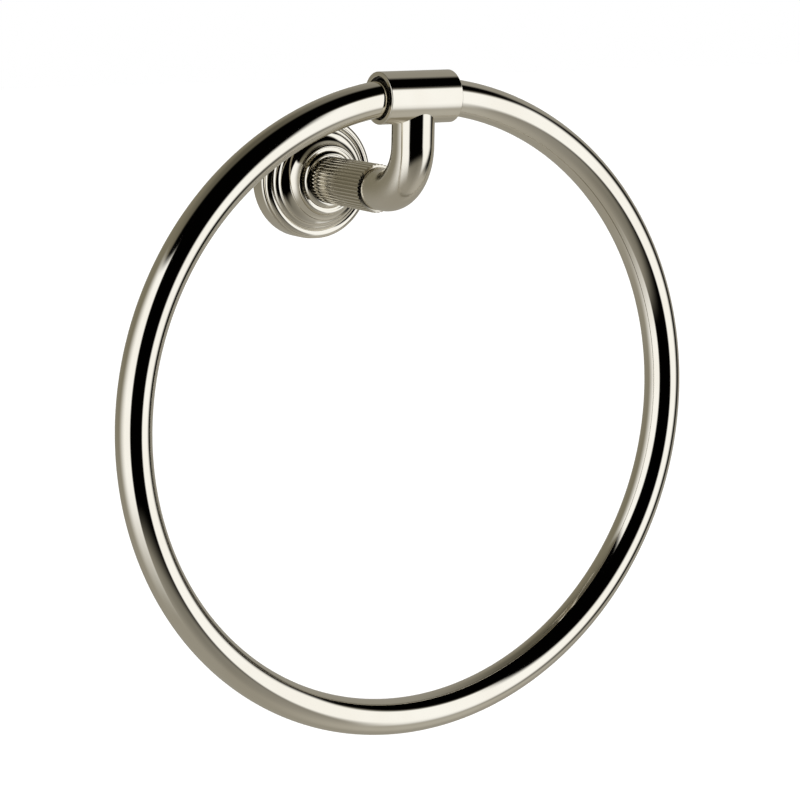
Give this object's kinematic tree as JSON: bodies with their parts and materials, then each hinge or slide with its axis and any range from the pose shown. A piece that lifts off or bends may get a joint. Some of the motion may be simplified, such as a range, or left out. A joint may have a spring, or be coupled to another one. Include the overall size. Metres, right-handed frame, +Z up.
{
  "type": "towel ring",
  "caption": "Wall-mounted towel ring: a tubular hoop swings in a sleeve on a cast elbow, carried by a fluted post on a round moulded rosette.",
  "frame": {"origin": "middle of the rosette's back face, on the wall plane and on the post's axis", "axes": "+Y into the wall, the post stands out along -Y, +Z up, +X along the sleeve"},
  "size_m": [0.208, 0.0712, 0.2099],
  "materials": {
    "polished_nickel": "warm polished nickel plate on brass",
    "plated_steel": "dull zinc plate",
    "screw_steel": "plain stainless",
    "bare_brass": "unplated, turned",
    "dark_liner": "satin black nylon"
  },
  "bodies": {
    "wall_post": {"rosette": "polished_nickel", "wall_bracket": "plated_steel", "grub_screw": "screw_steel", "fluted_collar": "polished_nickel", "arm": "polished_nickel", "post_screw": "screw_steel", "lock_washer": "screw_steel", "sleeve_bush_left": "dark_liner", "sleeve_bush_right": "dark_liner"},
    "towel_ring": {"ring": "polished_nickel", "ring_joint_plug": "bare_brass"}
  },
  "joints": [
    {"name": "ring_swing", "type": "hinge", "parent": "wall_post", "child": "towel_ring", "pos_m": [0, -0.063, 0.0305], "axis": [-1, 0, 0], "range_deg": [-16.5, 196.5]}
  ]
}
